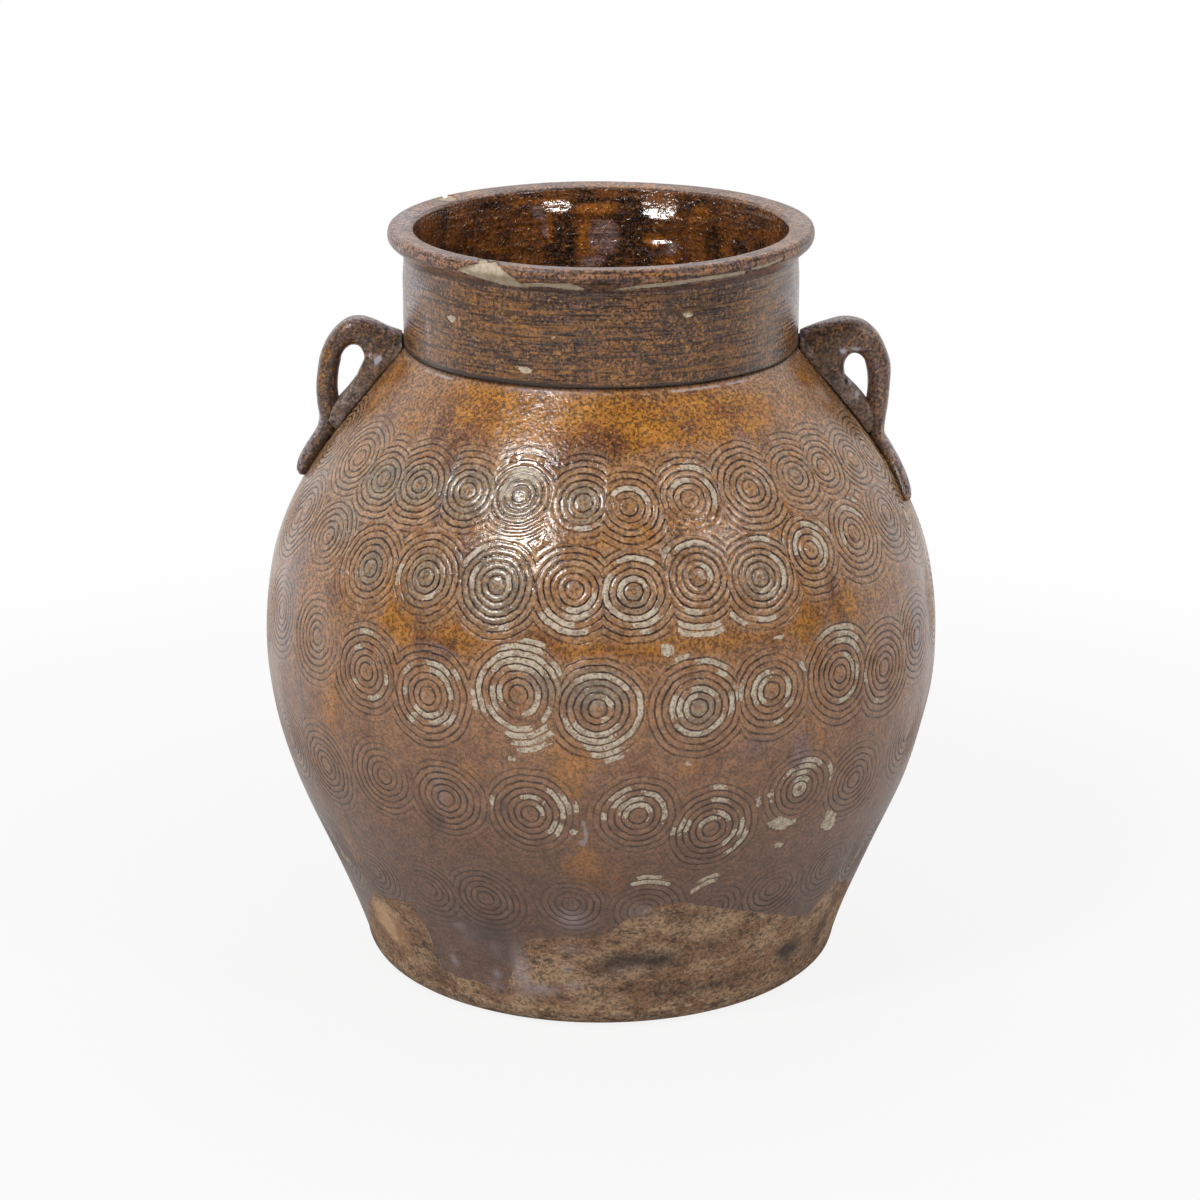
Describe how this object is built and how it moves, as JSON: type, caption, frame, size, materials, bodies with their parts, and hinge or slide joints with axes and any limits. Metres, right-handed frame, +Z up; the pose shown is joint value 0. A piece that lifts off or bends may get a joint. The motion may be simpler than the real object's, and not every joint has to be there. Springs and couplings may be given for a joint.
{
  "type": "martaban storage jar",
  "caption": "Wide-mouthed stoneware storage jar with a short neck, rolled rim, rounded belly and loop handles on the shoulder.",
  "frame": {"origin": "middle of the flat foot, on the surface that the jar stands on", "axes": "+Z up along the jar's axis and out of the mouth, +X through the right handle, -Y towards the side that the picture shows"},
  "size_m": [0.386, 0.386, 0.43],
  "materials": {
    "bare_clay": "bare buff stoneware at the foot, dry and stained with dirt",
    "body_glaze": "thin brown ash glaze, speckled, worn to clay on the crests of the stamped rings",
    "shoulder_glaze": "glossy amber and brown ash glaze with mauve runs",
    "neck_glaze": "speckled brown glaze over fine throwing lines, chipped at the rim",
    "handle_glaze": "speckled brown glaze, pooled dark in the creases"
  },
  "bodies": {
    "root": {"base_slab": "bare_clay", "foot_course": "bare_clay", "flank_course": "body_glaze", "belly_course": "body_glaze", "high_belly_course": "body_glaze", "shoulder_course": "shoulder_glaze", "top_course": "shoulder_glaze", "neck_collar": "neck_glaze", "rim_roll": "neck_glaze", "left_handle_strap": "handle_glaze", "left_handle_loop": "handle_glaze", "right_handle_strap": "handle_glaze", "right_handle_loop": "handle_glaze"}
  },
  "joints": []
}
